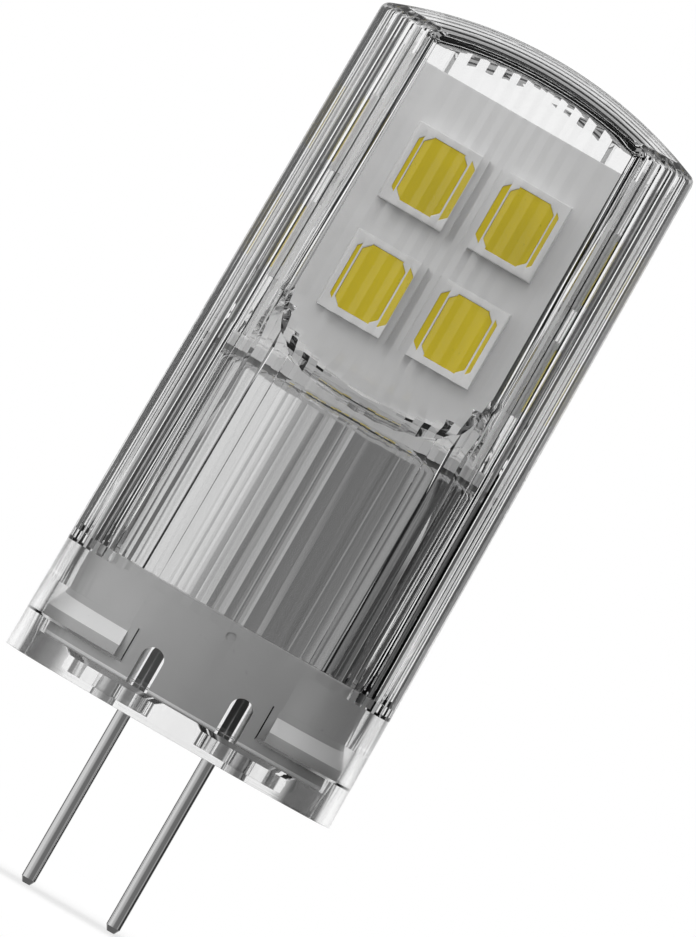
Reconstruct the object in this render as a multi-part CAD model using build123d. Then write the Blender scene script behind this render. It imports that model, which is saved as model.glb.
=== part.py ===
from build123d import *
from math import asin, cos, pi, sin, sqrt
import os

# LED capsule bulb with two pins.
# The origin is the centre of the bottom face, between the pins. Up is +Z, the pins point
# along -Z, and the front window faces -Y. All sizes are in millimetres.

# Clear cover
cover_height = 31.95        # bottom face to the top of the dome
cover_radius = 7.64         # outside, at the bottom
cover_draft = 0.0088        # loss of radius per millimetre of height
skirt_height = 5.0          # the smooth band under the ribs
skirt_wall = 0.86
dome_radius = 19.0
dome_wall = 0.6
ceiling_round = 1.0
shoulder_round = 0.4
rib_count = 52
rib_depth = 0.08
groove_reach = 34.0         # half angle of a groove over the dome, in degrees
ledge_height = 5.45         # where the bore gets narrower and the inner ribs start
ribbed_wall = 1.03
bore_rib_depth = 0.05

# Flat windows at the front and back
window_cut = 1.97           # how far the flat lies inside the cover's bottom radius
window_wall = 0.42
window_run_out = 3.8        # radius of the curve that leads out of the flat at its lower end
window_overshoot = 2.0

# Snap joint between the cover and the housing
recess_bottom = 1.70
recess_top = 3.26
recess_depth = 0.24
recess_edge = 3.02          # the recess lies beyond this distance in X
hook_bottom = 1.77
hook_corner = 2.26
hook_top = 2.97
hook_edge = 3.42

# Clearances
slide_gap = 0.05            # between parts that are pushed together
hook_gap = 0.07
housing_gap = 0.21
sleeve_gap = 0.31
board_gap = 0.15

# Base disc and driver housing
disc_height = 1.12
disc_groove_inner = 0.60
disc_groove_outer = 1.35
disc_groove_floor = 0.22
disc_groove_chamfer = 0.30
disc_dimple_offset = 4.85
disc_dimple_radius = 0.16
housing_floor_top = 4.0
housing_rim_round = 0.12
spigot_wall = 0.6
spigot_height = 1.5
slot_width = 0.94
slot_top = 2.92

# Pins
pin_pitch = 4.0
pin_radius = 0.325
pin_root_radius = 0.37      # the upset part that grips the base disc
pin_inner_radius = 0.28
pin_length = 8.15
pin_tip_chamfer = 0.14
pin_tip_length = 0.23
pin_top = 2.84
pin_cone = 0.35
lead_radius = 0.15
lead_hole_gap = 0.1

# Heat sleeve and the plate on it
sleeve_height = 9.75
sleeve_wall = 0.5
sleeve_top_thickness = 0.6
sleeve_round = 0.65
sleeve_inner_round = 0.45
plate_thickness = 0.6
wire_hole_width = 3.6
wire_hole_depth = 1.4

# Light tower
tower_side_room = 1.1       # from the plate's rim to the side boards
tower_front_room = 1.85     # from the inner flat of the cover to the front board
tower_top_gap = 2.79        # from the top of the tower to the top of the dome
board_thickness = 0.8
core_wall = 0.8
led_width = 2.86
led_height = 3.54
led_thickness = 0.7
led_pitch = 4.04            # sideways, between the two columns
led_top_share = 0.2968      # of the tower's height, from its top to the middle of the upper row
led_row_share = 0.3751      # the same, between the two rows
phosphor_width = 2.34
phosphor_height = 2.92
phosphor_corner = 0.34
phosphor_pocket = 0.3       # depth of the pocket in the package
phosphor_sink = 0.05        # how far the phosphor lies under the package's face

# Wires from the driver to the front board
wire_radius = 0.25
wire_offset = 1.2
wire_reach = 2.25           # above the plate
solder_radius = 0.45

# Sizes that follow from the ones above
skirt_bore_radius = cover_radius - skirt_wall
bore_radius = cover_radius - cover_draft * ledge_height - ribbed_wall
ceiling_height = cover_height - dome_wall
ceiling_radius = dome_radius - dome_wall
window_face = cover_radius - window_cut
window_inner_face = window_face - window_wall
recess_radius = skirt_bore_radius + recess_depth
hook_radius = recess_radius - hook_gap
housing_radius = skirt_bore_radius - housing_gap
housing_top = ledge_height - slide_gap
sleeve_radius = bore_radius - sleeve_gap
sleeve_top = housing_top + sleeve_height
window_inner_start = sleeve_top + housing_gap
window_start = window_inner_start + window_run_out - sleeve_top_thickness
spigot_radius = sleeve_radius - sleeve_wall - slide_gap
housing_bore_radius = spigot_radius - spigot_wall
spigot_top = housing_top + spigot_height
plate_radius = sleeve_radius - slide_gap
plate_depth = 2 * (window_inner_face - board_gap)
plate_top = sleeve_top + plate_thickness
tower_width = 2 * (plate_radius - tower_side_room)          # over the side boards
tower_depth = 2 * (window_inner_face - tower_front_room)    # over the front and back boards
tower_top = cover_height - tower_top_gap
tower_height = tower_top - plate_top
led_upper = tower_top - led_top_share * tower_height
led_lower = led_upper - led_row_share * tower_height
front_board_rear = board_thickness - tower_depth / 2
core_width = tower_width - 2 * board_thickness
core_depth = tower_depth - 2 * board_thickness
driver_radius = sleeve_radius - sleeve_wall - board_gap
driver_top = spigot_top + board_thickness
wire_y = front_board_rear + wire_radius
wire_end = plate_top + wire_reach
core_opening_height = wire_reach + 2 * solder_radius
dome_centre = cover_height - dome_radius
dome_sag = dome_radius - sqrt(dome_radius ** 2 - cover_radius ** 2)
rib_angle = 2 * pi / rib_count

# Parts on the driver board, in steps of its layout grid: width, depth and height, then the
# place of the middle
grid = driver_radius / 14
bridge_size = (9.0, 6.5, 3.5)
bridge_place = (6.25, 5.0)
controller_size = (7.25, 4.0, 2.75)
controller_place = (0.0, -10.0)
flat_capacitor_size = (4.0, 2.0, 2.0)
flat_capacitor_place = (-9.0, -2.5)
sense_resistor_size = (4.0, 2.0, 1.25)
sense_resistor_place = (-8.5, -6.5)
fuse_resistor_size = (5.0, 3.0, 1.5)
fuse_resistor_place = (2.25, 11.0)
chip_chamfer = 0.2
round_capacitor_radius = 3.75
round_capacitor_height = 10.5
round_capacitor_place = (8.5, -4.0)
round_capacitor_round = 0.6
choke_radius = 4.75
choke_neck = 3.0
choke_flange = 1.5
choke_height = 7.5
choke_place = (-5.75, 6.25)
winding_radius = 4.4


on_base = (Align.CENTER, Align.CENTER, Align.MIN)


def cover_radius_at(height):
    return cover_radius - cover_draft * height


def cylinder(radius, bottom, top, x=0, y=0):
    return Pos(x, y, bottom) * Cylinder(radius, top - bottom, align=on_base)


def box(width, depth, bottom, top, x=0, y=0):
    return Pos(x, y, bottom) * Box(width, depth, top - bottom, align=on_base)


def turned(points):
    """Turn a closed outline of radius and height about the middle axis."""
    return revolve(make_face(Plane.XZ * Polyline(*points, close=True)), Axis.Z)


def star(radius, depth, height, flat=None):
    """Ribbed outline: ridges at even points, valleys at odd points, with the sides flattened at flat."""
    points = []
    for step in range(2 * rib_count):
        angle = step * rib_angle / 2
        reach = radius
        if flat is not None:
            reach = min(radius, flat / max(abs(cos(angle)), 0.001))
        reach -= depth * (step % 2)
        points.append((reach * sin(angle), -reach * cos(angle), height))
    return Wire.make_polygon([Vector(*p) for p in points], close=True)


def ribbed_body(radius, depth, bottom, top, flat=None):
    """A ribbed bar that narrows by the cover's draft from bottom to top."""
    shrink = 1 - cover_draft * (top - bottom) / radius
    upper_flat = None if flat is None else flat * shrink
    return Solid.make_loft(
        [star(radius, depth, bottom, flat), star(radius * shrink, depth * shrink, top, upper_flat)], True)


def dome_envelope(apex, radius, side, rounding):
    """A body under a ball-shaped top whose edge is rounded at the radius side. It gets wider below."""
    centre = apex - radius
    inner_reach = radius - rounding
    round_height = centre + sqrt(inner_reach ** 2 - (side - rounding) ** 2)
    tilt = asin((side - rounding) / inner_reach)
    start = (radius * sin(tilt), 0, centre + radius * cos(tilt))
    half = (pi / 2 - tilt) / 2
    middle_tilt = tilt + half
    middle = (side - rounding + rounding * sin(middle_tilt), 0, round_height + rounding * cos(middle_tilt))
    top_middle = (radius * sin(tilt / 2), 0, centre + radius * cos(tilt / 2))
    edges = [
        ThreePointArc((0, 0, apex), top_middle, start),
        ThreePointArc(start, middle, (side, 0, round_height)),
        Line((side, 0, round_height), (2 * side, 0, 0)),
        Line((2 * side, 0, 0), (0, 0, 0)),
        Line((0, 0, 0), (0, 0, apex)),
    ]
    return revolve(make_face(edges), Axis.Z)


def dome_groove(offset):
    """A V groove over the dome from side to side, at a fixed distance from the middle."""
    half_width = cover_radius_at(cover_height) * rib_angle / 4
    surface = dome_centre + sqrt(dome_radius ** 2 - offset ** 2)
    points = [
        (0, offset - half_width, surface + rib_depth),
        (0, offset + half_width, surface + rib_depth),
        (0, offset, surface - rib_depth),
    ]
    profile = make_face(Polyline(*points, close=True))
    axis = Axis((0, offset, dome_centre), (0, 1, 0))
    return revolve(profile.rotate(axis, -groove_reach), axis, 2 * groove_reach)


def window_cutter(front):
    """What the outer flat and its curved run-out take off the front (-1) or back (+1)."""
    far = cover_radius + window_overshoot
    above = cover_height + window_overshoot
    low = window_start - window_run_out
    bend = window_run_out * sin(pi / 4)
    edges = [
        Line((0, front * window_face, above), (0, front * window_face, window_start)),
        ThreePointArc(
            (0, front * window_face, window_start),
            (0, front * (window_face + window_run_out - bend), window_start - bend),
            (0, front * (window_face + window_run_out), low)),
        Line((0, front * (window_face + window_run_out), low), (0, front * far, low)),
        Line((0, front * far, low), (0, front * far, above)),
        Line((0, front * far, above), (0, front * window_face, above)),
    ]
    return extrude(make_face(edges), cover_radius, dir=(1, 0, 0), both=True)


def side_ring(inner_points, edge):
    """A turned ring, kept only beyond the distance edge on the left and right."""
    ring = turned(inner_points)
    return ring - box(2 * edge, 4 * cover_radius, 0, skirt_height)


def make_cover():
    body = turned([
        (0, 0), (cover_radius, 0), (cover_radius_at(skirt_height), skirt_height), (0, skirt_height)])
    body += ribbed_body(cover_radius_at(skirt_height), rib_depth, skirt_height, cover_height)
    shoulder_radius = cover_radius_at(cover_height - dome_sag)
    body &= dome_envelope(cover_height, dome_radius, shoulder_radius, shoulder_round)
    for front in (-1, 1):
        body -= window_cutter(front)
    reach = cover_radius_at(cover_height)
    step = 0.5
    while reach * sin(step * rib_angle) < window_face:
        for side in (-1, 1):
            body -= dome_groove(side * reach * sin(step * rib_angle))
        step += 1
    cavity = cylinder(skirt_bore_radius, -1, ledge_height)
    lower = ribbed_body(bore_radius, bore_rib_depth, ledge_height - 0.5, window_inner_start)
    upper_radius = bore_radius - cover_draft * (window_inner_start - ledge_height)
    upper = ribbed_body(upper_radius, bore_rib_depth, window_inner_start, cover_height, window_inner_face)
    upper &= dome_envelope(ceiling_height, ceiling_radius, upper_radius, ceiling_round)
    recess = side_ring([
        (skirt_bore_radius - 1, recess_bottom), (recess_radius, recess_bottom),
        (recess_radius, recess_top), (skirt_bore_radius - 1, recess_top)], recess_edge)
    return body - cavity - lower - upper - recess


def make_base_disc():
    disc = cylinder(skirt_bore_radius - slide_gap, 0, disc_height)
    for side in (-1, 1):
        x = side * pin_pitch / 2
        groove = turned([
            (disc_groove_inner, disc_groove_floor), (disc_groove_outer, disc_groove_floor),
            (disc_groove_outer, disc_height - disc_groove_chamfer),
            (disc_groove_outer + disc_groove_chamfer, disc_height), (disc_groove_inner, disc_height)])
        disc -= Pos(x, 0, 0) * groove
        disc -= cylinder(pin_root_radius, 0, disc_height, x)
        disc -= cylinder(disc_dimple_radius, disc_groove_floor, disc_height, side * disc_dimple_offset)
    return disc


def make_housing():
    body = cylinder(housing_radius, disc_height, housing_top)
    body = fillet(body.edges().group_by(Axis.Z)[0], housing_rim_round)
    body += cylinder(spigot_radius, housing_top, spigot_top)
    body += side_ring([
        (housing_radius - 0.5, hook_bottom), (hook_radius, hook_bottom), (hook_radius, hook_corner),
        (housing_radius, hook_top), (housing_radius - 0.5, hook_top)], hook_edge)
    body -= cylinder(housing_bore_radius, housing_floor_top, spigot_top + 1)
    for side in (-1, 1):
        x = side * pin_pitch / 2
        round_centre = slot_top - slot_width / 2
        body -= box(slot_width, 3 * housing_radius, disc_height - 1, round_centre, x)
        body -= Pos(x, 0, round_centre) * Rot(90, 0, 0) * Cylinder(slot_width / 2, 3 * housing_radius)
        body -= cylinder(lead_radius + lead_hole_gap, round_centre, spigot_top, x)
    return body


def make_pin(side):
    pin = turned([
        (0, -pin_length), (pin_radius - pin_tip_chamfer, -pin_length),
        (pin_radius, pin_tip_length - pin_length), (pin_radius, 0),
        (pin_root_radius, 0), (pin_root_radius, disc_height),
        (pin_inner_radius, disc_height), (pin_inner_radius, pin_top - pin_cone),
        (lead_radius, pin_top), (0, pin_top)])
    return Pos(side * pin_pitch / 2, 0, 0) * pin


def make_lead(side):
    return cylinder(lead_radius, pin_top, driver_top + lead_hole_gap, side * pin_pitch / 2)


def make_sleeve():
    sleeve = cylinder(sleeve_radius, housing_top, sleeve_top)
    sleeve = fillet(sleeve.edges().group_by(Axis.Z)[-1], sleeve_round)
    inner_top = sleeve_top - sleeve_top_thickness
    inner = cylinder(sleeve_radius - sleeve_wall, housing_top, inner_top)
    inner = fillet(inner.edges().group_by(Axis.Z)[-1], sleeve_inner_round)
    return sleeve - inner - wire_hole(sleeve_top - 2 * sleeve_top_thickness, sleeve_top)


def wire_hole(bottom, top):
    return box(wire_hole_width, wire_hole_depth, bottom, top, 0, wire_y)


def make_plate():
    plate = cylinder(plate_radius, sleeve_top, plate_top)
    plate &= box(2 * plate_radius, plate_depth, sleeve_top, plate_top)
    return plate - wire_hole(sleeve_top, plate_top)


def make_core():
    core = box(core_width, core_depth, plate_top, tower_top)
    core -= box(core_width - 2 * core_wall, core_depth - 2 * core_wall, plate_top, tower_top - core_wall)
    opening_top = plate_top + core_opening_height
    return core - box(wire_hole_width, 2 * core_wall, plate_top, opening_top, 0, -core_depth / 2)


def make_wide_board(front):
    y = front * (tower_depth - board_thickness) / 2
    return box(tower_width, board_thickness, plate_top, tower_top, 0, y)


def make_side_board(side):
    x = side * (tower_width - board_thickness) / 2
    return box(board_thickness, core_depth, plate_top, tower_top, x)


def chamfered_block(width, height, corner, back, front):
    """A block that lies in the XZ plane with cut corners, from y = back to y = front."""
    w, h = width / 2, height / 2
    points = [
        (-w + corner, -h), (w - corner, -h), (w, -h + corner), (w, h - corner),
        (w - corner, h), (-w + corner, h), (-w, h - corner), (-w, -h + corner)]
    face = make_face(Polyline(*[(x, back, z) for x, z in points], close=True))
    return extrude(face, back - front, dir=(0, -1, 0))


def make_package():
    body = Box(led_width, led_thickness, led_height, align=(Align.CENTER, Align.MAX, Align.CENTER))
    return body - chamfered_block(
        phosphor_width, phosphor_height, phosphor_corner, phosphor_pocket - led_thickness, -led_thickness)


def make_phosphor():
    return chamfered_block(
        phosphor_width, phosphor_height, phosphor_corner,
        phosphor_pocket - led_thickness, phosphor_sink - led_thickness)


def led_places():
    """Where each LED sits: its name and how a front-facing one is moved there."""
    places = {}
    for face, turn, distance in (
            ("front", 0, tower_depth / 2), ("right", 90, tower_width / 2),
            ("back", 180, tower_depth / 2), ("left", 270, tower_width / 2)):
        columns = (-led_pitch / 2, led_pitch / 2) if face in ("front", "back") else (0,)
        number = 0
        for height in (led_upper, led_lower):
            for x in columns:
                number += 1
                places[f"{face}_{number}"] = Rot(0, 0, turn) * Pos(x, -distance, height)
    return places


def on_driver(shape, place):
    """Scale a shape from grid steps and set it on the driver board."""
    x, y = place
    return Pos(x * grid, y * grid, driver_top) * scale(shape, grid)


def chip(size, place):
    """A block with its top edges cut off, on the driver board."""
    body = box(size[0], size[1], 0, size[2])
    return on_driver(chamfer(body.edges().group_by(Axis.Z)[-1], chip_chamfer), place)


def choke_ring(radius):
    """The ring between the two flanges of the choke, from its neck out to radius."""
    bottom, top = choke_flange, choke_height - choke_flange
    return cylinder(radius, bottom, top) - cylinder(choke_neck, bottom, top)


def make_choke():
    return on_driver(cylinder(choke_radius, 0, choke_height) - choke_ring(choke_radius), choke_place)


def make_round_capacitor():
    can = cylinder(round_capacitor_radius, 0, round_capacitor_height)
    can = fillet(can.edges().group_by(Axis.Z)[-1], round_capacitor_round)
    return on_driver(can, round_capacitor_place)


def make_driver_board():
    board = cylinder(driver_radius, spigot_top, driver_top)
    for side in (-1, 1):
        board -= cylinder(lead_radius, spigot_top, driver_top, side * pin_pitch / 2)
    return board


def make_feed(side):
    return cylinder(wire_radius, driver_top, wire_end, side * wire_offset, wire_y)


def make_solder(side):
    dot = Pos(side * wire_offset, front_board_rear, wire_end) * Sphere(solder_radius)
    dot &= box(2, 2, wire_end - 1, wire_end + 1, side * wire_offset, front_board_rear + 1)
    return dot - make_feed(side)


def make_parts():
    parts = {
        "clear_cover": make_cover(),
        "base_disc": make_base_disc(),
        "driver_housing": make_housing(),
        "heat_sleeve": make_sleeve(),
        "carrier_plate": make_plate(),
        "tower_core": make_core(),
        "board_front": make_wide_board(-1),
        "board_back": make_wide_board(1),
        "driver_board": make_driver_board(),
        "bridge_rectifier": chip(bridge_size, bridge_place),
        "driver_chip": chip(controller_size, controller_place),
        "choke": make_choke(),
        "choke_winding": on_driver(choke_ring(winding_radius), choke_place),
        "capacitor_round": make_round_capacitor(),
        "capacitor_flat": chip(flat_capacitor_size, flat_capacitor_place),
        "sense_resistor": chip(sense_resistor_size, sense_resistor_place),
        "fuse_resistor": chip(fuse_resistor_size, fuse_resistor_place),
    }
    for name, side in (("left", -1), ("right", 1)):
        parts[f"board_{name}"] = make_side_board(side)
        parts[f"pin_{name}"] = make_pin(side)
        parts[f"lead_{name}"] = make_lead(side)
    for name, side in (("plus", -1), ("minus", 1)):
        parts[f"feed_{name}"] = make_feed(side)
        parts[f"solder_{name}"] = make_solder(side)
    package = make_package()
    phosphor = make_phosphor()
    for name, place in led_places().items():
        parts[f"led_{name}"] = place * package
        parts[f"phosphor_{name}"] = place * phosphor
    return parts


os.makedirs("parts", exist_ok=True)
for node, shape in make_parts().items():
    export_step(shape, f"parts/{node}.step")
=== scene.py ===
from math import cos, pi, radians, sin, sqrt

import bmesh
import bpy
from mathutils import Matrix, Vector


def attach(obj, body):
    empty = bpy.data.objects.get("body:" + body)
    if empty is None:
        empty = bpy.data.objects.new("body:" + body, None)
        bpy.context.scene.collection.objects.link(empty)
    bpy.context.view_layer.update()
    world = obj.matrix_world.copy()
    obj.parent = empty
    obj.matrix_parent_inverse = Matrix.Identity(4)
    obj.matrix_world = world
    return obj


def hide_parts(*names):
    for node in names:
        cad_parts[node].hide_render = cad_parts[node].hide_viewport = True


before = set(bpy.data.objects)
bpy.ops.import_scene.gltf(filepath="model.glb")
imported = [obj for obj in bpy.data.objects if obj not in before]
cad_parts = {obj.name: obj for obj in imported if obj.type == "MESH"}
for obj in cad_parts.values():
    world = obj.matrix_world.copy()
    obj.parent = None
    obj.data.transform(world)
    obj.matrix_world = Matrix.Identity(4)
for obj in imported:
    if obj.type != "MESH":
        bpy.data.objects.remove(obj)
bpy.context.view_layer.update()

# LED capsule bulb. Shapes are worked out in millimetres and scaled to metres when a piece is done.
MM = 0.001
JOIN = 1e-4                 # points closer than this become one
TINY = 1e-3                 # smallest divisor
FINE = 256                  # segments of the large turned shapes

# How far cutters reach past what they cut
CUT_SIDE = 9.0
CUT_FRONT = 12.0
CUT_MARGIN = 2.0
CUT_BELOW = -1.0

# Outside of the clear cover
COVER_HEIGHT = 31.95
COVER_RADIUS = 7.64
COVER_DRAFT = 0.0088
DRAFT_END = 30.4            # height at which the dome takes over the drafted radius
SKIRT_HEIGHT = 5.0
DOME_RADIUS = 19.0
SHOULDER_ROUND = 0.4
RIBS = 52
RIB_DEPTH = 0.08
RIB_STEP = 0.005            # height in which the ribs rise from the skirt
SIDE_LEVELS = 6
DOME_STEPS = 32
EDGE_ROUND = 0.05
EDGE_ANGLE = 34
WINDOW_FACE = 5.67
WINDOW_START = 18.56
WINDOW_RUN_OUT = 3.8
WINDOW_STEPS = 36
RECESS = (6.5, 7.02, 1.70, 3.26, 3.02)      # radii, heights and the edge in X
RECESS_CHAMFER = 0.11

# Inside of the clear cover
SKIRT_BORE = 6.78
LEDGE_HEIGHT = 5.45
BORE = 6.56
FLUTE_DEPTH = 0.088         # inner ribs on the flats
ROUND_FLUTES = 0.8          # share of that depth on the round bore
WINDOW_INNER_FACE = 5.25
WINDOW_CORNER = 4.72        # the inner flats reach out to this X
CORNER_REACH = 7.03         # and no further than this radius
RUN_OUT_TURN = 52           # degrees of arc in the inner run-out
RUN_OUT_STEPS = 12
FLAT_DRAFT = 0.5            # share of the draft that the flats have
NO_FLAT = 99.0              # a flat too far out to meet the bore
DOME_WALL = 0.6
CEILING_ROUND = 0.12
CEILING_MARGIN = 0.02
CEILING_SPAN = 6            # an inset this large would be the middle of the ceiling
CEILING_INSETS = (0.0, 0.02, 0.05, 0.09, 0.14, 0.3, 0.6, 1.0, 1.8, 2.7, 3.6, 4.5, 5.4)

# Base disc and pins
DISC_TOP = 1.12
DISC_RADIUS = 6.73
GROOVE = (0.60, 1.35, 0.22, 0.30)           # radii, floor and chamfer
DIMPLE = (4.85, 0.16)                       # middle in X and radius
PIN_X = 2.0
PIN_HOLE = 0.375
PIN_PROFILE = (
    (0, -8.15), (0.185, -8.15), (0.325, -7.92), (0.325, 0), (0.37, 0), (0.37, 1.12), (0.28, 1.12),
    (0.28, 2.49), (0.15, 2.84), (0, 2.84))

# Housing
HOUSING_RADIUS = 6.57
HOUSING_TOP = 5.40
HOUSING_FLOOR = 4.0
HOUSING_ROUND = 0.12
SHOULDER = 0.08
SPIGOT = (5.10, 5.70, 6.90)                 # radii and top
HOOK = (6.57, 6.95, 1.77, 2.26, 2.97, 3.42)  # radii, heights and the edge in X
HOOK_ROOT = 0.5
HOOK_CORNER = 6.3
SIDE_FLARE = 3.0
SIDE_TOP = 8.0
SLOT_WIDTH = 0.94
SLOT_BASE = 0.5
SLOT_TOP = 2.92
WIRE_HOLE = (0.25, 2.5, 7.5)                # radius and heights
GATE = (0.23, 4.81, 0.2, 0.06)              # middle in X and Z, radius and depth

# Sleeve and the plate on it
SLEEVE_RADIUS = 6.25
SLEEVE_WALL = 0.5
SLEEVE_LID = 0.6
SLEEVE_TOP = 15.15
SLEEVE_ROUND = 0.65
PLATE = (6.2, 5.1, 0.6, 0.1)                # radius, half depth, thickness and chamfer
FEED_HOLE = ((-1.8, -3.05), (1.8, -1.65))   # corners in X and Y

# Outputs of shader nodes
GENERATED, OBJECT = 0, 3
IS_CAMERA, IS_SHADOW, IS_DIFFUSE = 0, 1, 2


def grey(level):
    return (level, level, level, 1.0)


WHITE = grey(1.0)


class Wire:
    """An output socket in a node tree. Arithmetic on it adds Math nodes."""

    def __init__(self, tree, socket=None):
        self.tree, self.socket = tree, socket

    def node(self, kind, settings=None, sockets=None, out=0):
        """Add a node of any kind: its settings, then the values or links of its sockets."""
        made = self.tree.nodes.new(kind)
        for name, value in (settings or {}).items():
            if name == "stops":
                ramp = made.color_ramp
                while len(ramp.elements) < len(value):
                    ramp.elements.new(1.0)
                for element, (place, colour) in zip(ramp.elements, value):
                    element.position, element.color = place, colour
            else:
                setattr(made, name, value)
        for key, value in (sockets or {}).items():
            if isinstance(value, Wire):
                self.tree.links.new(value.socket, made.inputs[key])
            else:
                made.inputs[key].default_value = value
        return Wire(self.tree, made.outputs[out]) if len(made.outputs) else made

    def math(self, operation, *values):
        return self.node("ShaderNodeMath", {"operation": operation}, dict(enumerate(values)))

    def vector(self, operation, sockets, out=0):
        return self.node("ShaderNodeVectorMath", {"operation": operation}, sockets, out)

    def part(self, axis):
        """One coordinate of this vector."""
        return self.node("ShaderNodeSeparateXYZ", None, {0: self}, axis)

    def __add__(self, other):
        return self.math("ADD", self, other)

    def __mul__(self, other):
        return self.math("MULTIPLY", self, other)

    def __truediv__(self, other):
        return self.math("DIVIDE", self, other)

    def __abs__(self):
        return self.math("ABSOLUTE", self)

    def __gt__(self, other):
        return self.math("GREATER_THAN", self, other)

    def __lt__(self, other):
        return self.math("LESS_THAN", self, other)

    def step(self, low, high):
        """0 below low, 1 above high, smooth between."""
        return self.node("ShaderNodeMapRange", {"interpolation_type": "SMOOTHSTEP"},
                         {0: self, 1: low, 2: high, 3: 0.0, 4: 1.0})

    def blend(self, first, second):
        """This share of the second colour over the first."""
        return self.node("ShaderNodeMix", {"data_type": "RGBA"}, {0: self, 6: first, 7: second}, 2)


# Tools for shapes

def mesh_object(name, points, faces):
    mesh = bpy.data.meshes.new(name)
    mesh.from_pydata(points, [], faces)
    mesh.update()
    obj = bpy.data.objects.new(name, mesh)
    bpy.context.scene.collection.objects.link(obj)
    return obj


def mend(obj, change):
    """Join an object's doubled points, make one more change and turn its faces outwards."""
    shape = bmesh.new()
    shape.from_mesh(obj.data)
    bmesh.ops.remove_doubles(shape, verts=shape.verts, dist=JOIN)
    change(shape)
    bmesh.ops.recalc_face_normals(shape, faces=shape.faces)
    shape.to_mesh(obj.data)
    shape.free()
    return obj


def drop_slivers(shape):
    bmesh.ops.dissolve_degenerate(shape, edges=shape.edges, dist=JOIN)


def close_holes(shape):
    bmesh.ops.holes_fill(shape, edges=[e for e in shape.edges if e.is_boundary])


def merge_flats(shape):
    bmesh.ops.dissolve_limit(shape, verts=shape.verts, edges=shape.edges, angle_limit=radians(0.5))


def settle(obj):
    """Turn an object's modifiers into its plain mesh."""
    made = bpy.data.meshes.new_from_object(obj.evaluated_get(bpy.context.evaluated_depsgraph_get()))
    obj.modifiers.clear()
    obj.data = made
    return obj


def carve(body, *cutters, operation="DIFFERENCE"):
    """Cut the cutters out of the body, or join or intersect them, and throw them away."""
    for cutter in cutters:
        change = body.modifiers.new("Carve", "BOOLEAN")
        change.operation, change.solver, change.object = operation, "EXACT", cutter
    settle(body)
    for cutter in cutters:
        bpy.data.objects.remove(cutter)
    return body


def ease(obj, width, angle=30):
    """Round the edges of an object that are sharper than an angle."""
    change = obj.modifiers.new("Ease", "BEVEL")
    change.width, change.segments = width, 2
    change.limit_method, change.angle_limit = "ANGLE", radians(angle)
    return settle(obj)


def lathe(name, profile, segments=FINE, x=0.0, ring=False):
    """Turn a profile of radius and height about the axis at x. A ring profile closes on itself."""
    points, rings = [], []
    for radius, height in profile:
        count = 1 if radius < 1e-6 else segments
        rings.append([len(points) + i for i in range(count)])
        points += [
            (x + radius * sin(2 * pi * i / segments), -radius * cos(2 * pi * i / segments), height)
            for i in range(count)]
    faces = []
    for lower, upper in zip(rings, rings[1:] + (rings[:1] if ring else [])):
        for i in range(segments):
            j = (i + 1) % segments
            quad = [lower[i % len(lower)], lower[j % len(lower)],
                    upper[j % len(upper)], upper[i % len(upper)]]
            faces.append(list(dict.fromkeys(quad)))
    return mend(mesh_object(name, points, [f for f in faces if len(f) > 2]), drop_slivers)


def prism(name, outline, low, high, axis):
    """Extrude a closed outline of two coordinates along axis 0, 1 or 2, from low to high."""
    count = len(outline)
    points = []
    for level in (low, high):
        for a, b in outline:
            point = [a, b]
            point.insert(axis, level)
            points.append(point)
    faces = [list(range(count)), list(range(count, 2 * count))]
    faces += [[i, (i + 1) % count, count + (i + 1) % count, count + i] for i in range(count)]
    return mend(mesh_object(name, points, faces), drop_slivers)


def block(name, low, high):
    """A block through the top of the sleeve and the plate, between two corners in X and Y."""
    outline = [(low[0], low[1]), (high[0], low[1]), (high[0], high[1]), (low[0], high[1])]
    return prism(name, outline, SLEEVE_TOP - CUT_MARGIN, SLEEVE_TOP + CUT_MARGIN, 2)


def arc(centre, radius, start, end, steps):
    """Points on an arc, angles in degrees from the first axis."""
    return [
        (centre[0] + radius * cos(radians(start + (end - start) * i / steps)),
         centre[1] + radius * sin(radians(start + (end - start) * i / steps)))
        for i in range(steps + 1)]


def side_ring(name, profile, edge, corner, slope=0.0):
    """A turned ring, kept only on the left and right, beyond an edge in X.

    The cut between them opens at 45 degrees from a slope short of the corner in Y, which leaves
    the ring's ends with a chamfer of that size.
    """
    ring = lathe(name, profile, ring=True)
    wide = edge + SIDE_FLARE
    near = slope - corner
    outline = [(-edge, near), (-wide, near - SIDE_FLARE), (wide, near - SIDE_FLARE), (edge, near)]
    outline += [(x, -y) for x, y in outline[::-1]]
    return carve(ring, prism("middle", outline, CUT_BELOW, SIDE_TOP, 2))


def store(obj, name, kind, values):
    obj.data.attributes.new(name, kind, "POINT").data.foreach_set("value", values)


def node_tree(name, inputs):
    """A geometry tree with named inputs. Returns the tree and a wire for each input."""
    tree = bpy.data.node_groups.new(name, "GeometryNodeTree")
    tree.interface.new_socket("Geometry", in_out="INPUT", socket_type="NodeSocketGeometry")
    tree.interface.new_socket("Geometry", in_out="OUTPUT", socket_type="NodeSocketGeometry")
    for label, kind in inputs:
        tree.interface.new_socket(label, in_out="INPUT", socket_type=kind)
    source = tree.nodes.new("NodeGroupInput")
    return tree, [Wire(tree, socket) for socket in source.outputs[:len(inputs) + 1]]


def grow(obj, tree, **values):
    """Run a geometry tree on an object with values for its named inputs, and keep the plain mesh."""
    change = obj.modifiers.new(tree.name, "NODES")
    change.node_group = tree
    for item in tree.interface.items_tree:
        if item.in_out == "INPUT" and item.name in values:
            change[item.identifier] = values[item.name]
    return settle(obj)


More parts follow.
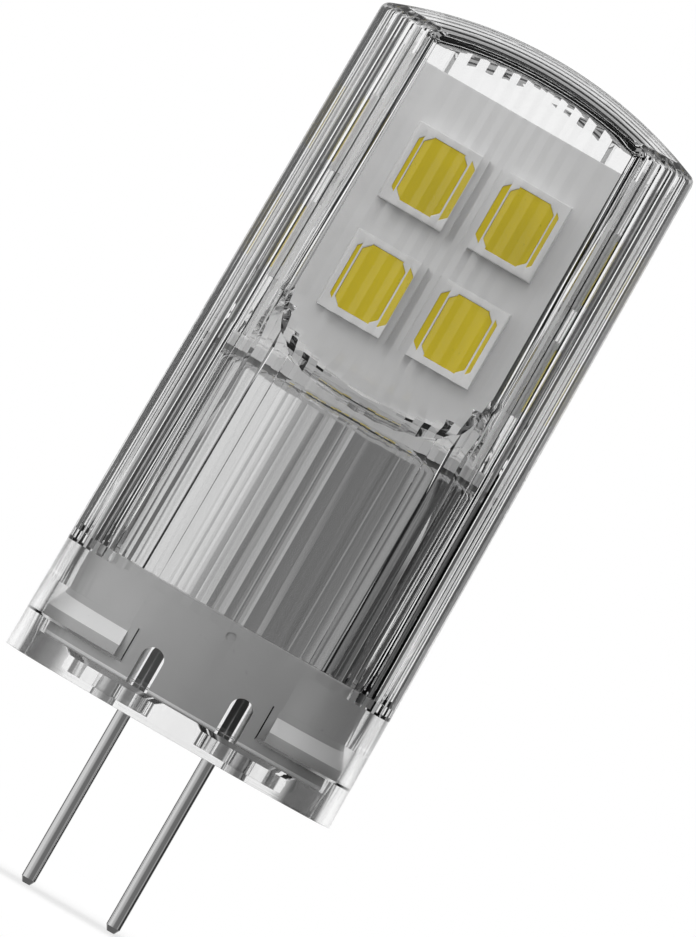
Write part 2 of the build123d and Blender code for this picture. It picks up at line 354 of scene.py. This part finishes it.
def rib_tree():
    """Pushes every second row of points in along the surface, above the start height."""
    tree, (body, depth, start) = node_tree(
        "Pressed ribs", [("Depth", "NodeSocketFloat"), ("Start", "NodeSocketFloat")])
    row = body.node("GeometryNodeInputNamedAttribute", {"data_type": "INT"}, {"Name": "row"})
    height = body.node("GeometryNodeInputPosition").part(2)
    valley = row.math("PINGPONG", row, 1.0) * (height > start)
    normal = body.node("GeometryNodeInputNormal")
    inward = body.vector("SCALE", {0: normal, "Scale": valley * depth * -1.0})
    pressed = body.node("GeometryNodeSetPosition", None, {"Geometry": body, "Offset": inward})
    body.node("NodeGroupOutput", None, {0: pressed})
    return tree


def flute_tree():
    """Draws every second column of points inwards, by the share of the depth that "wall" gives."""
    tree, (body, depth) = node_tree("Pressed flutes", [("Depth", "NodeSocketFloat")])
    row = body.node("GeometryNodeInputNamedAttribute", {"data_type": "INT"}, {"Name": "row"})
    wall = body.node("GeometryNodeInputNamedAttribute", {"data_type": "FLOAT"}, {"Name": "wall"})
    reach = body.vector("MULTIPLY", {0: body.node("GeometryNodeInputPosition"), 1: (1.0, 1.0, 0.0)})
    outward = body.vector("NORMALIZE", {0: reach})
    size = row.math("PINGPONG", row, 1.0) * wall * depth * -1.0
    inward = body.vector("SCALE", {0: outward, "Scale": size})
    shaped = body.node("GeometryNodeSetPosition", None, {"Geometry": body, "Offset": inward})
    body.node("NodeGroupOutput", None, {0: shaped})
    return tree


# Shapes

def dome_profile(apex, radius, side, rounding):
    """A ball-shaped top with a rounded edge: its height by the distance from the middle, and the
    height at which the edge ends."""
    centre = apex - radius
    inner = radius - rounding
    level = centre + sqrt(inner ** 2 - (side - rounding) ** 2)
    edge = radius * (side - rounding) / inner

    def height(reach):
        if reach <= edge:
            return centre + sqrt(radius ** 2 - reach ** 2)
        return level + sqrt(max(rounding ** 2 - (reach - side + rounding) ** 2, 0.0))

    return height, level


def make_cover_body():
    """The outside of the cover: rows of points run up the right side, over the dome and down the left."""
    side = COVER_RADIUS - COVER_DRAFT * DRAFT_END
    height, level = dome_profile(COVER_HEIGHT, DOME_RADIUS, side, SHOULDER_ROUND)
    levels = [0.0, SKIRT_HEIGHT, SKIRT_HEIGHT + RIB_STEP] + [
        SKIRT_HEIGHT + (level - SKIRT_HEIGHT) * i / SIDE_LEVELS for i in range(1, SIDE_LEVELS + 1)]
    spans = [sin(pi / 2 * (1 - i / DOME_STEPS)) for i in range(1, DOME_STEPS + 1)]
    points, rows = [], []
    for row in range(RIBS + 1):
        turn = (row - RIBS / 2) * pi / RIBS
        path = [
            ((COVER_RADIUS - COVER_DRAFT * z) * cos(turn), (COVER_RADIUS - COVER_DRAFT * z) * sin(turn), z)
            for z in levels]
        y = side * sin(turn)
        for span in spans:
            x = side * cos(turn) * span
            path.append((x, y, height(sqrt(x ** 2 + y ** 2))))
        line = path + [(-x, y, z) for x, y, z in path[-2::-1]]
        points += line
        rows += [row] * len(line)
    wide = len(line)
    faces = [
        [r * wide + c, r * wide + c + 1, (r + 1) * wide + c + 1, (r + 1) * wide + c]
        for r in range(RIBS) for c in range(wide - 1)]
    body = mesh_object("cover_body", points, faces)
    store(body, "row", "INT", rows)
    return mend(body, drop_slivers)


def make_cavity():
    """The inside of the cover, as a solid to cut away: a fluted round bore, with flats behind the
    windows, under a round ceiling."""
    count = 2 * RIBS
    ceiling = DOME_RADIUS - DOME_WALL
    centre = COVER_HEIGHT - DOME_RADIUS
    upper = BORE - COVER_DRAFT * (WINDOW_START - LEDGE_HEIGHT)
    top_loss = COVER_DRAFT * (COVER_HEIGHT - DOME_WALL - WINDOW_START)
    points, walls, rows = [], [], []

    def lean(a):
        return max(abs(cos(2 * pi * a / count)), TINY)

    def side(a, corner):
        """Radius beside the flats: the round bore, widened to the corners of the window."""
        return max(upper, min(WINDOW_CORNER / max(abs(sin(2 * pi * a / count)), TINY), corner))

    def on_flat(a, face, corner):
        return face / lean(a) < side(a, corner)

    def reach(a, face, corner, loss=0.0):
        return min(side(a, corner) - loss, (face - loss * FLAT_DRAFT) / lean(a))

    def under_ceiling(a, r):
        """Height of the ceiling, which bends down towards the walls."""
        room = max(reach(a, WINDOW_INNER_FACE, CORNER_REACH, top_loss) - r, 0.0) + CEILING_MARGIN
        drop = CEILING_ROUND - sqrt(CEILING_ROUND ** 2 - max(CEILING_ROUND - room, 0.0) ** 2)
        return centre + sqrt(ceiling ** 2 - r ** 2) - drop

    def ring(radii, height=None, face=None, corner=0.0):
        """A ring of points, on the ceiling if it has no height.

        With a face it is fluted later: in full on the flats, and on the round bore less deep and
        with the inner ribs behind the outer ridges.
        """
        for a, r in enumerate(radii):
            turn = 2 * pi * a / count
            z = under_ceiling(a, r) if height is None else height
            points.append((r * sin(turn), -r * cos(turn), z))
            flat = face is not None and on_flat(a, face, corner)
            walls.append(0.0 if face is None else 1.0 if flat else ROUND_FLUTES)
            rows.append(a if flat else a + 1)

    ring([SKIRT_BORE] * count, CUT_BELOW)
    ring([SKIRT_BORE] * count, LEDGE_HEIGHT)
    ring([BORE] * count, LEDGE_HEIGHT, NO_FLAT)
    run_out = WINDOW_RUN_OUT - WINDOW_FACE + WINDOW_INNER_FACE
    for i in range(RUN_OUT_STEPS + 1):
        turn = radians(RUN_OUT_TURN * (1 - i / RUN_OUT_STEPS))
        face = WINDOW_INNER_FACE + run_out * (1 - cos(turn))
        corner = upper + (CORNER_REACH - upper) * i / RUN_OUT_STEPS
        radii = [reach(a, face, corner) for a in range(count)]
        ring(radii, WINDOW_START - run_out * sin(turn), face, corner)
    for inset in CEILING_INSETS:
        share = 1 - inset / CEILING_SPAN
        radii = []
        for a in range(count):
            flat = on_flat(a, WINDOW_INNER_FACE, CORNER_REACH)
            flute = FLUTE_DEPTH * ((a + (not flat)) % 2) * (1.0 if flat else ROUND_FLUTES) * share
            radii.append((reach(a, WINDOW_INNER_FACE, CORNER_REACH, top_loss) - flute) * share)
        ring(radii)
    points += [(0, 0, CUT_BELOW), (0, 0, centre + ceiling)]
    walls += [0.0, 0.0]
    rows += [0, 0]
    bottom, top = len(points) - 2, len(points) - 1
    last = bottom - count
    faces = []
    for r in range(bottom // count - 1):
        for a in range(count):
            b = (a + 1) % count
            faces.append([r * count + a, r * count + b, (r + 1) * count + b, (r + 1) * count + a])
    for a in range(count):
        b = (a + 1) % count
        faces.append([b, a, bottom])
        faces.append([last + a, last + b, top])
    body = mesh_object("cavity", points, faces)
    store(body, "wall", "FLOAT", walls)
    store(body, "row", "INT", rows)
    grow(body, flute_tree(), Depth=FLUTE_DEPTH)
    return mend(body, drop_slivers)


def window_cutter(front):
    """What the flat window and its run-out take off the front (-1) or back (1)."""
    high = COVER_HEIGHT + CUT_MARGIN
    curve = arc((WINDOW_FACE + WINDOW_RUN_OUT, WINDOW_START), WINDOW_RUN_OUT, 180, 270, WINDOW_STEPS)
    outline = [(WINDOW_FACE, high), *curve, (CUT_FRONT, WINDOW_START - WINDOW_RUN_OUT), (CUT_FRONT, high)]
    return prism("window", [(front * y, z) for y, z in outline], -CUT_SIDE, CUT_SIDE, 0)


def make_cover():
    body = make_cover_body()
    grow(body, rib_tree(), Depth=RIB_DEPTH, Start=SKIRT_HEIGHT + RIB_STEP / 2)
    mend(body, close_holes)
    carve(body, window_cutter(-1), window_cutter(1), make_cavity())
    ease(body, EDGE_ROUND, EDGE_ANGLE)
    inner, outer, low, high, edge = RECESS
    profile = [(inner, low), (outer - RECESS_CHAMFER, low), (outer, low + RECESS_CHAMFER), (outer, high),
               (inner, high)]
    return carve(body, side_ring("recess", profile, edge, sqrt(outer ** 2 - edge ** 2), RECESS_CHAMFER))


def make_disc():
    disc = lathe("disc", [(0, 0), (DISC_RADIUS, 0), (DISC_RADIUS, DISC_TOP), (0, DISC_TOP)])
    inner, outer, floor, chamfer = GROOVE
    middle, dimple = DIMPLE
    high = CUT_MARGIN
    cutters = []
    for side in (-1, 1):
        cutters.append(lathe("groove", [
            (inner, floor), (outer, floor), (outer, DISC_TOP - chamfer), (outer + chamfer, DISC_TOP),
            (outer + chamfer, high), (inner, high)], 72, side * PIN_X, ring=True))
        cutters.append(lathe("hole", [
            (0, CUT_BELOW), (PIN_HOLE, CUT_BELOW), (PIN_HOLE, high), (0, high)], 48, side * PIN_X))
        cutters.append(lathe("dimple", [
            (0, floor), (dimple, floor), (dimple, high), (0, high)], 32, side * middle))
    return ease(carve(disc, *cutters), EDGE_ROUND)


def make_housing():
    inner, spigot, top = SPIGOT
    rim = arc((HOUSING_RADIUS - HOUSING_ROUND, DISC_TOP + HOUSING_ROUND), HOUSING_ROUND, -90, 0, 6)
    shoulder = arc((HOUSING_RADIUS - SHOULDER, HOUSING_TOP - SHOULDER), SHOULDER, 0, 90, 4)
    housing = lathe("housing", [
        (0, DISC_TOP), *rim, *shoulder, (spigot, HOUSING_TOP), (spigot, top), (inner, top),
        (inner, HOUSING_FLOOR), (0, HOUSING_FLOOR)])
    base, reach, low, corner, high, edge = HOOK
    root = base - HOOK_ROOT
    hook = side_ring("hook", [
        (root, low), (reach, low), (reach, corner), (base, high), (root, high)], edge, HOOK_CORNER)
    carve(housing, hook, operation="UNION")
    half = SLOT_WIDTH / 2
    radius, start, end = WIRE_HOLE
    slots = []
    for side in (-1, 1):
        outline = [(side * PIN_X - half, SLOT_BASE), (side * PIN_X + half, SLOT_BASE)]
        outline += arc((side * PIN_X, SLOT_TOP - half), half, 0, 180, 20)
        slots.append(prism("slot", outline, -CUT_SIDE, CUT_SIDE, 1))
        slots.append(lathe("wire_hole", [
            (0, start), (radius, start), (radius, end), (0, end)], 32, side * PIN_X))
    x, z, radius, depth = GATE
    gate = prism("gate", arc((x, z), radius, 0, 345, 23), -CUT_SIDE, -HOUSING_RADIUS + depth, 1)
    return carve(housing, *slots, gate)


def make_sleeve():
    inside = SLEEVE_RADIUS - SLEEVE_WALL
    crown = arc((SLEEVE_RADIUS - SLEEVE_ROUND, SLEEVE_TOP - SLEEVE_ROUND), SLEEVE_ROUND, 0, 90, 14)
    sleeve = lathe("sleeve", [
        (inside, HOUSING_TOP), (SLEEVE_RADIUS, HOUSING_TOP), *crown, (0, SLEEVE_TOP),
        (0, SLEEVE_TOP - SLEEVE_LID), (inside, SLEEVE_TOP - SLEEVE_LID)], ring=True)
    return carve(sleeve, block("hole", *FEED_HOLE))


def make_plate():
    radius, half, thick, chamfer = PLATE
    top = SLEEVE_TOP + thick
    plate = lathe("plate", [
        (0, SLEEVE_TOP), (radius, SLEEVE_TOP), (radius, top - chamfer), (radius - chamfer, top), (0, top)])
    carve(plate, block("flats", (-CUT_SIDE, -half), (CUT_SIDE, half)), operation="INTERSECT")
    return carve(plate, block("hole", *FEED_HOLE))


def copy_of(node):
    """A merged copy of a CAD node's mesh, in millimetres."""
    obj = bpy.data.objects.new(node + "_copy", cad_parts[node].data.copy())
    bpy.context.scene.collection.objects.link(obj)
    obj.data.transform(Matrix.Scale(1 / MM, 4))
    return mend(obj, merge_flats)


def keep(obj, name, finish, nodes, smooth=30):
    """Finish a piece: scale it to metres, shade it, and let it stand for its CAD nodes."""
    obj.name = name
    obj.data.name = name
    obj.data.transform(Matrix.Scale(MM, 4))
    obj.data.materials.clear()
    obj.data.materials.append(finish)
    for face in obj.data.polygons:
        face.use_smooth = True
        face.material_index = 0
    obj.data.set_sharp_from_angle(angle=radians(smooth))
    for attribute in ("row", "wall"):
        if attribute in obj.data.attributes:
            obj.data.attributes.remove(obj.data.attributes[attribute])
    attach(obj, "root")
    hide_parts(*nodes)


# Materials

def material(name):
    """A new material with an empty tree, a wire to start from, and its object coordinates."""
    made = bpy.data.materials.new(name)
    made.use_nodes = True
    made.node_tree.nodes.clear()
    start = Wire(made.node_tree)
    return made, start, start.node("ShaderNodeTexCoord", None, None, OBJECT)


def surface(start, **values):
    """The Principled shader with these sockets."""
    sockets = {key.replace("_", " "): value for key, value in values.items()}
    return start.node("ShaderNodeBsdfPrincipled", None, sockets)


def grain(start, place, scale):
    return start.node("ShaderNodeTexNoise", None, {"Vector": place, "Scale": scale, "Detail": 3.0})


def bumps(start, height, strength, distance):
    return start.node("ShaderNodeBump", None, {"Strength": strength, "Distance": distance, "Height": height})


def clear_plastic(name):
    """Clear moulded plastic. Lamps reach what is behind it."""
    made, start, place = material(name)
    haze = grain(start, place, 900.0)
    shader = surface(
        start, Base_Color=WHITE, Roughness=haze.step(0.35, 0.8) * CLEAR_ROUGHNESS, IOR=CLEAR_INDEX,
        Transmission_Weight=1.0)
    lamp_ray = start.node("ShaderNodeLightPath", None, None, IS_SHADOW)
    through = start.node("ShaderNodeBsdfTransparent", None, {0: grey(CLEAR_SHADOW)})
    mixed = start.node("ShaderNodeMixShader", None, {0: lamp_ray, 1: shader, 2: through})
    start.node("ShaderNodeOutputMaterial", None, {0: mixed})
    return made


def moulded(name, colour, rough, spread=0.06, grain_size=2500.0, bump=0.1, rim=None, **extra):
    """Opaque plastic, lacquer or ceramic with a fine moulded grain and a slight cloudiness.

    A rim is painted light: a lighter grey painted below a height, and beyond a radius above the corner of
    the hooks, where it is a painted highlight on their upper faces.
    """
    made, start, place = material(name)
    cloud = grain(start, place, 180.0)
    fine = grain(start, place, grain_size)
    dark = tuple(c * (1 - spread) for c in colour)
    light = tuple(min(c * (1 + spread), 1.0) for c in colour)
    tone = cloud.step(0.3, 0.7).blend((*dark, 1.0), (*light, 1.0))
    # The rim is painted light: a painted highlight on the hooks' upper faces and a lighter painted band low
    # down
    if rim:
        level, reach, low = rim
        flat = start.vector("MULTIPLY", {0: place, 1: (1.0, 1.0, 0.0)})
        height = place.part(2)
        outside = start.vector("LENGTH", {0: flat}, 1) > reach
        hook_highlight = outside * (height > HOOK[3] * MM)
        tone = start.math("MAXIMUM", hook_highlight, height < low).blend(tone, grey(level))
    shader = surface(
        start, Base_Color=tone, Roughness=fine * 0.12 + (rough - 0.06),
        Normal=bumps(start, fine, bump, MOULD_BUMP), **extra)
    start.node("ShaderNodeOutputMaterial", None, {0: shader})
    return made


def metal(name, colour, rough, stretch=(1.0, 1.0, 1.0), size=1500.0, bump=0.06):
    """Metal with fine drawing marks, long where stretch is small."""
    made, start, place = material(name)
    drawn = start.node("ShaderNodeMapping", None, {"Vector": place, "Scale": stretch})
    marks = grain(start, drawn, size)
    tone = marks.step(0.2, 0.8).blend((*(c * 0.94 for c in colour), 1.0), (*colour, 1.0))
    shader = surface(
        start, Base_Color=tone, Metallic=1.0, Roughness=marks * 0.1 + (rough - 0.05),
        Normal=bumps(start, marks, bump, METAL_BUMP))
    start.node("ShaderNodeOutputMaterial", None, {0: shader})
    return made


CLEAR_INDEX = 1.586
CLEAR_ROUGHNESS = 0.004
CLEAR_SHADOW = 0.97         # share of a lamp's light that passes
MOULD_BUMP = 0.00002
METAL_BUMP = 0.00001
# Painted light on the housing: a lighter grey painted at the bottom and as a highlight on the hooks' upper
# faces
HOUSING_PAINTED_LIGHT = (0.78, 0.0066, 0.0013)        # grey, radius and height, in metres

CLEAR = clear_plastic("Clear cover plastic")
CLEAR_BASE = clear_plastic("Clear base plastic")
HOUSING_GREY = moulded("Grey housing plastic", (0.36, 0.36, 0.36), 0.3, rim=HOUSING_PAINTED_LIGHT)
SLEEVE_METAL = metal("Bright sleeve", (0.88, 0.88, 0.88), 0.06, (1.0, 1.0, 0.05), 1500.0, 0.01)
PIN_METAL = metal("Plated pin", (0.84, 0.84, 0.84), 0.14, (1.0, 1.0, 0.04), 6000.0, 0.03)
CORE_METAL = metal("Aluminium core", (0.75, 0.75, 0.76), 0.35)
BOARD_WHITE = moulded("White board lacquer", (0.68, 0.68, 0.68), 0.35)
PLATE_WHITE = moulded("White plate plastic", (0.60, 0.60, 0.60), 0.35)
PACKAGE_WHITE = moulded("LED package plastic", (0.74, 0.74, 0.74), 0.45)
PHOSPHOR = moulded("Phosphor gel", (0.84, 0.66, 0.006), 0.3, 0.04, 6000.0, 0.05, Metallic=0.4)
BOARD_GREEN = moulded("Green board lacquer", (0.03, 0.20, 0.08), 0.35)
BLACK_EPOXY = moulded("Black epoxy", (0.025, 0.025, 0.027), 0.5)
FERRITE = moulded("Ferrite", (0.05, 0.05, 0.055), 0.6)
TAN_CERAMIC = moulded("Tan ceramic", (0.50, 0.38, 0.24), 0.5)
COPPER = metal("Copper wire", (0.85, 0.48, 0.30), 0.3)
CAN_METAL = metal("Capacitor can", (0.78, 0.78, 0.79), 0.25)
SOLDER = metal("Solder", (0.72, 0.72, 0.73), 0.3)
RED_WIRE = moulded("Red wire insulation", (0.5, 0.02, 0.02), 0.4)
BLACK_WIRE = moulded("Black wire insulation", (0.02, 0.02, 0.02), 0.4)

# Pieces

keep(make_cover(), "cover", CLEAR, ["clear_cover"], 12)
keep(make_disc(), "bottom_disc", CLEAR_BASE, ["base_disc"])
keep(make_housing(), "housing", HOUSING_GREY, ["driver_housing"])
keep(make_sleeve(), "sleeve", SLEEVE_METAL, ["heat_sleeve"])
keep(make_plate(), "seat_plate", PLATE_WHITE, ["carrier_plate"])
for name, side in (("left", -1), ("right", 1)):
    keep(lathe("pin", PIN_PROFILE, 64, side * PIN_X), f"contact_{name}", PIN_METAL,
         [f"pin_{name}"])

for name in ("front", "back", "left", "right"):
    keep(ease(copy_of(f"board_{name}"), 0.05), f"light_board_{name}", BOARD_WHITE,
         [f"board_{name}"])
for name, count in (("front", 4), ("back", 4), ("left", 2), ("right", 2)):
    for number in range(1, count + 1):
        keep(ease(copy_of(f"led_{name}_{number}"), 0.04), f"package_{name}_{number}", PACKAGE_WHITE,
             [f"led_{name}_{number}"])
        keep(ease(copy_of(f"phosphor_{name}_{number}"), 0.03), f"gel_{name}_{number}", PHOSPHOR,
             [f"phosphor_{name}_{number}"])

PLAIN_NODES = {
    "tower_core": CORE_METAL, "driver_board": BOARD_GREEN, "bridge_rectifier": BLACK_EPOXY,
    "driver_chip": BLACK_EPOXY, "choke": FERRITE, "choke_winding": COPPER, "capacitor_round": CAN_METAL,
    "capacitor_flat": TAN_CERAMIC, "sense_resistor": BLACK_EPOXY, "fuse_resistor": TAN_CERAMIC,
    "lead_left": COPPER, "lead_right": COPPER, "feed_plus": RED_WIRE, "feed_minus": BLACK_WIRE,
    "solder_plus": SOLDER, "solder_minus": SOLDER,
}
for name, finish in PLAIN_NODES.items():
    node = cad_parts[name]
    node.data.materials.clear()
    node.data.materials.append(finish)

# Studio, in metres

FRAME_HEIGHT = 38.39 * MM
AIM = (0.938 * MM, 0.0, 13.17 * MM)
CAMERA_DISTANCE = 1.0
CAMERA_ROLL = radians(30)
LAMP_AIM = (0.0, 0.0, 0.012)
FLOOR = -0.0082
FLOOR_SIZE = 0.8
SHADOW_REACH = (0.01, 0.07)     # the floor's shadow fades between these distances
SHADOW_GLOW = 0.7               # share of white in the shadow

AMBIENT = 0.30                  # what diffuse surfaces get from all sides
SOFT_GREY = 0.34                # surroundings above and below the flags
FLAG_EDGE = (0.25, 0.40)
SHADE = 0.13                    # surroundings straight below
SHADE_EDGE = (0.45, 0.60)
# Grey of the flags by azimuth: 0 towards the camera, negative to its left, 180 behind the object
FLAGS = [(azimuth / 360 + 0.5, grey(level)) for azimuth, level in (
    (-180, 1.0), (-148, 1.0), (-142, 0.1), (-122, 0.12), (-112, 0.33), (-103, 0.75), (-60, 0.75), (-50, 0.8),
    (-44, 0.6), (-30, 0.52), (-12, 0.42), (0, 0.22), (6, 0.17), (60, 0.17), (65, 0.36), (76, 0.36),
    (84, 0.2), (88, 0.03), (118, 0.03), (125, 0.1), (140, 0.1), (148, 1.0), (180, 1.0))]


def make_camera():
    data = bpy.data.cameras.new("camera")
    data.sensor_fit = "VERTICAL"
    data.sensor_height = 24.0
    data.lens = data.sensor_height * CAMERA_DISTANCE / FRAME_HEIGHT
    data.clip_start, data.clip_end = 0.01, 20.0
    camera = bpy.data.objects.new("camera", data)
    bpy.context.scene.collection.objects.link(camera)
    right = Vector((cos(CAMERA_ROLL), 0, sin(CAMERA_ROLL)))
    up = Vector((-sin(CAMERA_ROLL), 0, cos(CAMERA_ROLL)))
    back = Vector((0, -1, 0))
    place = Vector(AIM) + back * CAMERA_DISTANCE
    camera.matrix_world = Matrix((
        (right.x, up.x, back.x, place.x), (right.y, up.y, back.y, place.y),
        (right.z, up.z, back.z, place.z), (0, 0, 0, 1)))
    bpy.context.scene.camera = camera


def make_world():
    """Grey and black flags round the horizon, a soft grey above and below them, and shade straight
    below, all for the metal and the clear plastic. The camera sees white."""
    world = bpy.data.worlds.new("studio")
    bpy.context.scene.world = world
    world.use_nodes = True
    world.node_tree.nodes.clear()
    start = Wire(world.node_tree)
    way = start.node("ShaderNodeTexCoord", None, None, GENERATED)
    x, y, z = (way.part(axis) for axis in range(3))
    # 0.5 is towards the camera, and 0 and 1 are straight behind the object
    turn = start.math("ARCTAN2", x, y * -1.0) / (2 * pi) + 0.5
    flags = start.node("ShaderNodeValToRGB", {"stops": FLAGS}, {0: turn})
    band = abs(z).step(*FLAG_EDGE).blend(flags, grey(SOFT_GREY))
    seen = (z * -1.0).step(*SHADE_EDGE).blend(band, grey(SHADE))
    camera = start.node("ShaderNodeLightPath", None, None, IS_CAMERA)
    diffuse = start.node("ShaderNodeLightPath", None, None, IS_DIFFUSE)
    lit = diffuse.blend(camera.blend(seen, WHITE), grey(AMBIENT))
    light = start.node("ShaderNodeBackground", None, {"Color": lit, "Strength": 1.0})
    start.node("ShaderNodeOutputWorld", None, {0: light})


def lamp(name, place, size, power):
    """A square lamp aimed at the bulb. Only what it lights is seen."""
    data = bpy.data.lights.new(name, "AREA")
    data.shape, data.size, data.energy = "SQUARE", size, power
    obj = bpy.data.objects.new(name, data)
    bpy.context.scene.collection.objects.link(obj)
    obj.location = place
    obj.rotation_euler = (Vector(LAMP_AIM) - Vector(place)).to_track_quat("-Z", "Y").to_euler()
    obj.visible_glossy = False
    obj.visible_transmission = False
    obj.visible_camera = False


def make_floor():
    """A pale floor just under the pins. The camera sees it white apart from the shadow by the bulb."""
    made, start, place = material("Pale floor")
    shade = surface(start, Base_Color=grey(0.9), Roughness=0.9)
    glow = start.node("ShaderNodeEmission", None, {0: WHITE, 1: 1.0})
    camera = start.node("ShaderNodeLightPath", None, None, IS_CAMERA)
    away = start.vector("LENGTH", {0: place}, 1).step(*SHADOW_REACH)
    white = camera * (away * (1 - SHADOW_GLOW) + SHADOW_GLOW)
    mixed = start.node("ShaderNodeMixShader", None, {0: white, 1: shade, 2: glow})
    start.node("ShaderNodeOutputMaterial", None, {0: mixed})
    half = FLOOR_SIZE / 2
    floor = mesh_object(
        "floor", [(-half, -half, FLOOR), (half, -half, FLOOR), (half, half, FLOOR), (-half, half, FLOOR)],
        [[0, 1, 2, 3]])
    floor.data.materials.append(made)
    floor.visible_glossy = False
    floor.visible_transmission = False


make_camera()
make_world()
lamp("key", (-0.35, -0.45, 0.25), 0.50, 2.2)
lamp("fill", (0.40, -0.30, 0.12), 0.30, 0.6)
lamp("top", (0.0, -0.05, 0.50), 0.40, 2.2)
make_floor()

bpy.context.scene.view_settings.view_transform = "Standard"
